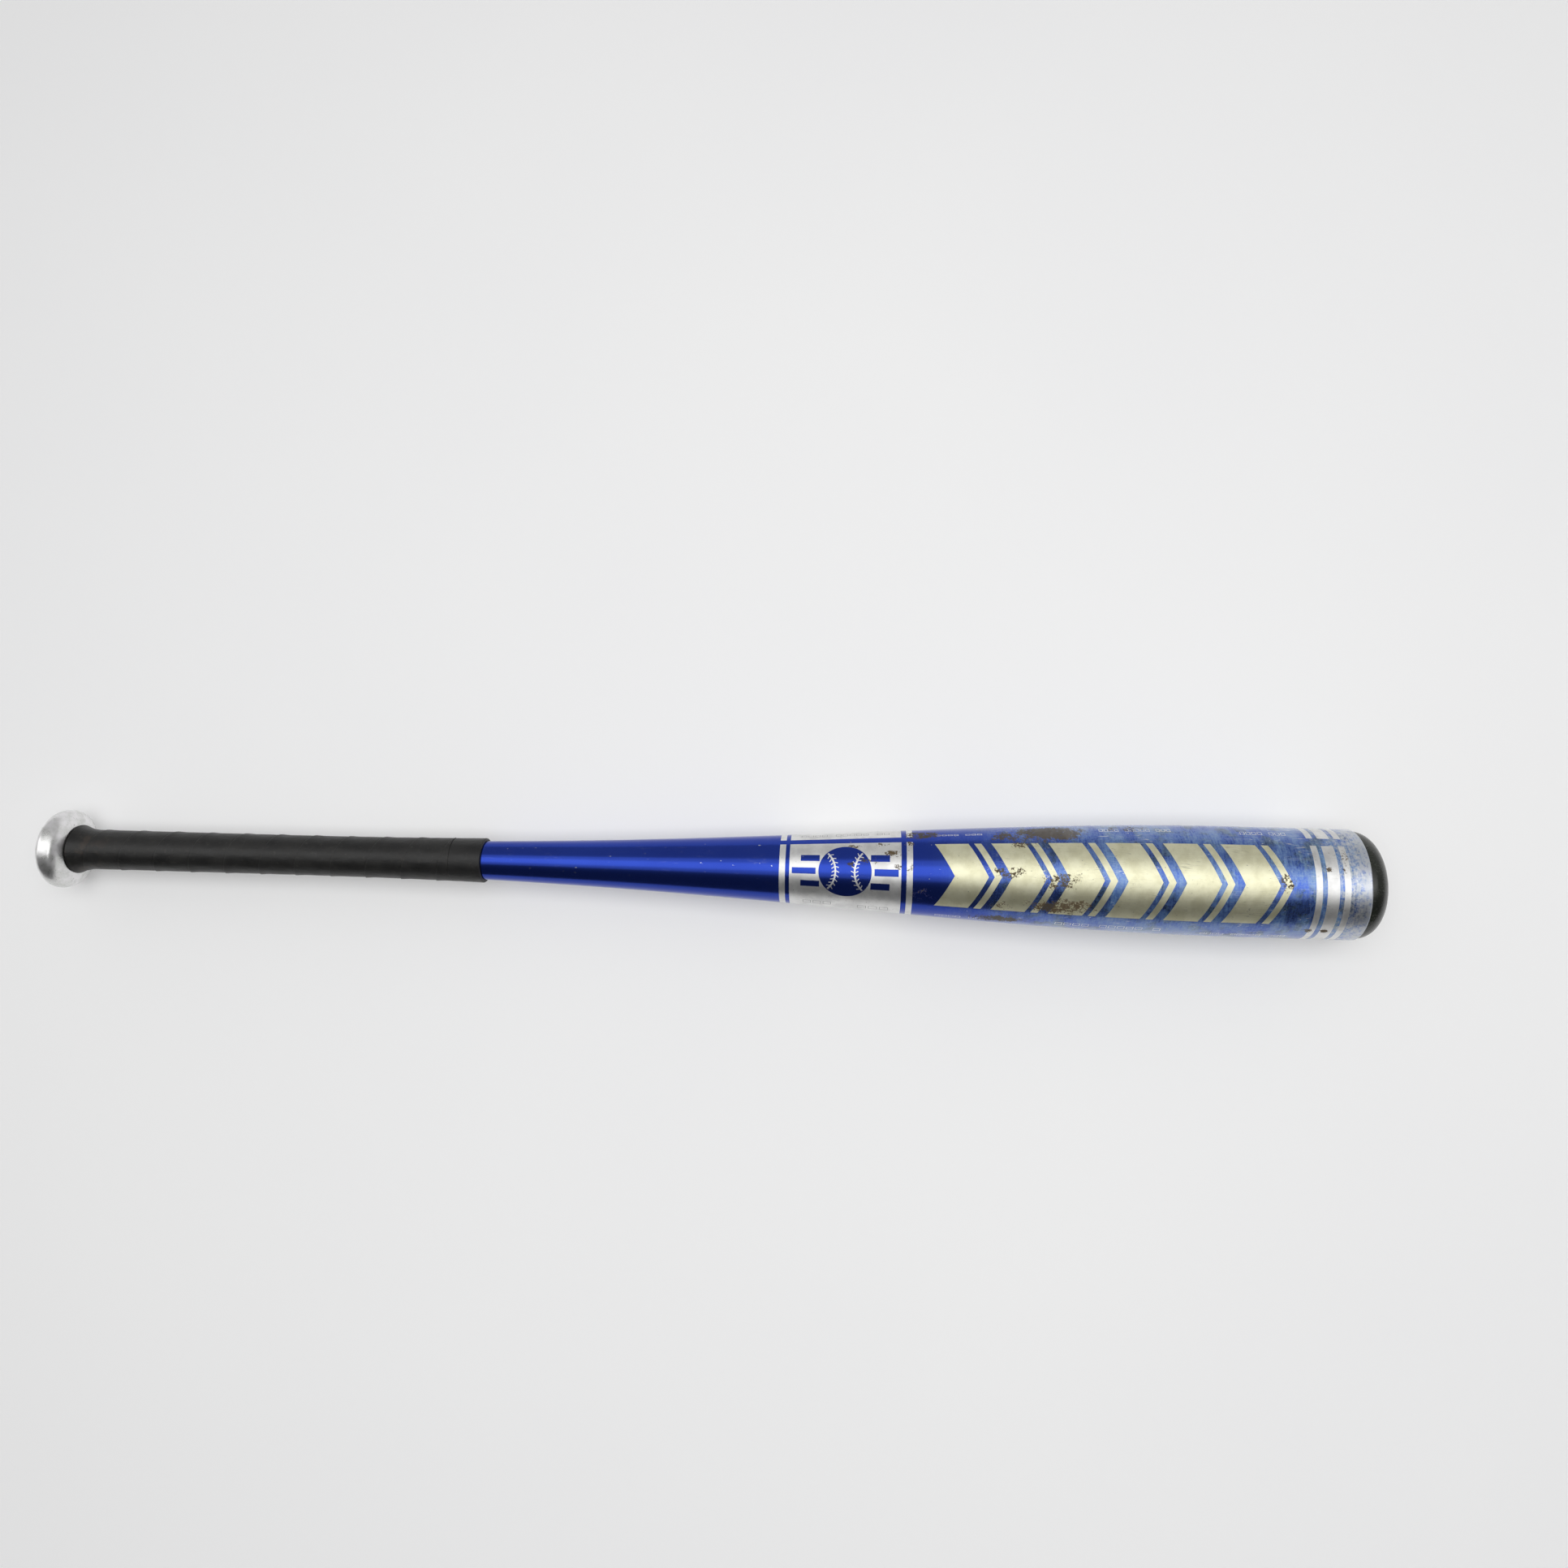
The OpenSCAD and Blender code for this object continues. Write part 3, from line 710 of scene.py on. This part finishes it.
cloth, tree, shader, place = new_material("backing cloth", Roughness=0.9)
weave = put(tree, "ShaderNodeTexWave", {"Vector": place, "Scale": 320.0, "Distortion": 1.5}).outputs["Fac"]
tint = blend_colour(tree, weave, (0.05, 0.05, 0.05, 1), (0.12, 0.12, 0.115, 1))
tree.links.new(tint, shader.inputs["Base Color"])
bump(tree, shader, weave, 0.0001, 0.5)
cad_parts["grip_backing"].data.materials.clear()
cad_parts["grip_backing"].data.materials.append(cloth)

# ---------------------------------------------------------------------------------------------
# The collar: a short moulded sleeve of the same black material that closes the grip's upper end.
# Its thin skirt runs under the last turn, and its rounded edge lies on the blue tube.
# ---------------------------------------------------------------------------------------------

collar_lo, collar_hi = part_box("grip_collar")
collar_l, collar_round, skirt_round = 0.019, 0.001, 0.00015
collar_x0 = collar_hi.x - collar_l
collar_leather = leather("black collar leather", (0.0042, 0.0042, 0.0044, 1),
                         (0.0095, 0.0092, 0.009, 1), 0.25)
collar_top = seat_r(collar_hi.x) + strip_t
outline = [(x, under_r(x) + layer_gap + backing_t) for x in steps(collar_lo.x, collar_x0, 4)]
outline += arc(collar_x0 + skirt_round, seat_r(collar_x0) + strip_t - skirt_round, skirt_round, -90, 0, 4)
outline += [(x, seat_r(x) + strip_t) for x in steps(collar_x0 + 0.001, collar_hi.x - collar_round, 16)]
outline += arc(collar_hi.x - collar_round, collar_top - collar_round, collar_round, 12, 90, 8)
outline += [(x, under_r(x) + layer_gap) for x in reversed(steps(collar_lo.x, collar_hi.x, 16))]
finish_piece(turned(outline, count=192), "grip_end_collar", collar_leather, "collar", "grip_collar")

# ---------------------------------------------------------------------------------------------
# The end cap: a dome of cast urethane, pushed through the mouth so that the lip sits in its
# groove. It is black with a green cast, glossy where it is clean and scuffed grey at its crown.
# ---------------------------------------------------------------------------------------------

cap_lo, cap_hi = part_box("end_cap")
cap_h = cap_hi.x - lip_x
cap_shoulder, cap_crown = 2.81, 2.17
cap_gap, bead_h, plug_wall = 0.0001, 0.0016, 0.005

urethane, tree, shader, place = new_material("cast urethane", Specular_IOR_Level=0.42, Coat_Weight=0.08,
                                             Coat_Roughness=0.12)
cloud = speckle(tree, place, 60.0, 4, 0.6)
tint = blend_colour(tree, ramp(tree, cloud, 0.35, 0.65), (0.006, 0.0075, 0.005, 1), (0.012, 0.015, 0.0095, 1))
chalk = ramp(tree, speckle(tree, place, 420.0, 6, 0.68), 0.57, 0.70, 0.0, 0.55)
scuffs = scratches(tree, (0, 25, 40), (80, 600, 400), 0.02, 120.0, 0.5)
marks = sums(tree, "MAXIMUM", chalk, sums(tree, "MULTIPLY", scuffs, 0.6))
tint = blend_colour(tree, marks, tint, (0.055, 0.058, 0.05, 1))
tree.links.new(tint, shader.inputs["Base Color"])
tree.links.new(sums(tree, "ADD", 0.26, sums(tree, "MULTIPLY", marks, 0.5)), shader.inputs["Roughness"])
bump(tree, shader, sums(tree, "SUBTRACT", sums(tree, "MULTIPLY", cloud, 0.3), marks), 0.00008, 0.35)

rim_r = barrel_r - lip_round
throat_r = mouth_r - cap_gap
groove_x = lip_x - lip_t - cap_gap
bead_x = (groove_x + cap_lo.x) / 2
pocket_r = throat_r - plug_wall
outline = [(lip_x, 0.0), (lip_x, pocket_r), (cap_lo.x, pocket_r), (cap_lo.x, throat_r - bead_h)]
outline += [(bead_x, mouth_r + bead_h), (groove_x, mouth_r + bead_h), (groove_x, throat_r), (lip_x, throat_r)]
for a in steps(0, pi / 2, 72):
    share = abs(cos(a)) if a < pi / 2 else 0.0
    outline.append((lip_x + cap_h * sin(a) ** (2 / cap_crown), rim_r * share ** (2 / cap_shoulder)))
finish_piece(turned(outline, closed=False, count=224), "cap_dome", urethane, "cap", "end_cap")

# ---------------------------------------------------------------------------------------------
# The foam plug: a disc of stiff yellow foam behind the cap that deadens the barrel's ring.
# It is out of sight, and keeps its solid with a foam finish.
# ---------------------------------------------------------------------------------------------

foam, tree, shader, place = new_material("stiff foam", Roughness=0.85)
cells = put(tree, "ShaderNodeTexVoronoi", {"Vector": place, "Scale": 700.0}).outputs["Distance"]
tint = blend_colour(tree, cells, (0.62, 0.52, 0.26, 1), (0.80, 0.72, 0.44, 1))
tree.links.new(tint, shader.inputs["Base Color"])
bump(tree, shader, cells, 0.0003, 0.6)
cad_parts["foam_plug"].data.materials.clear()
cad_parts["foam_plug"].data.materials.append(foam)
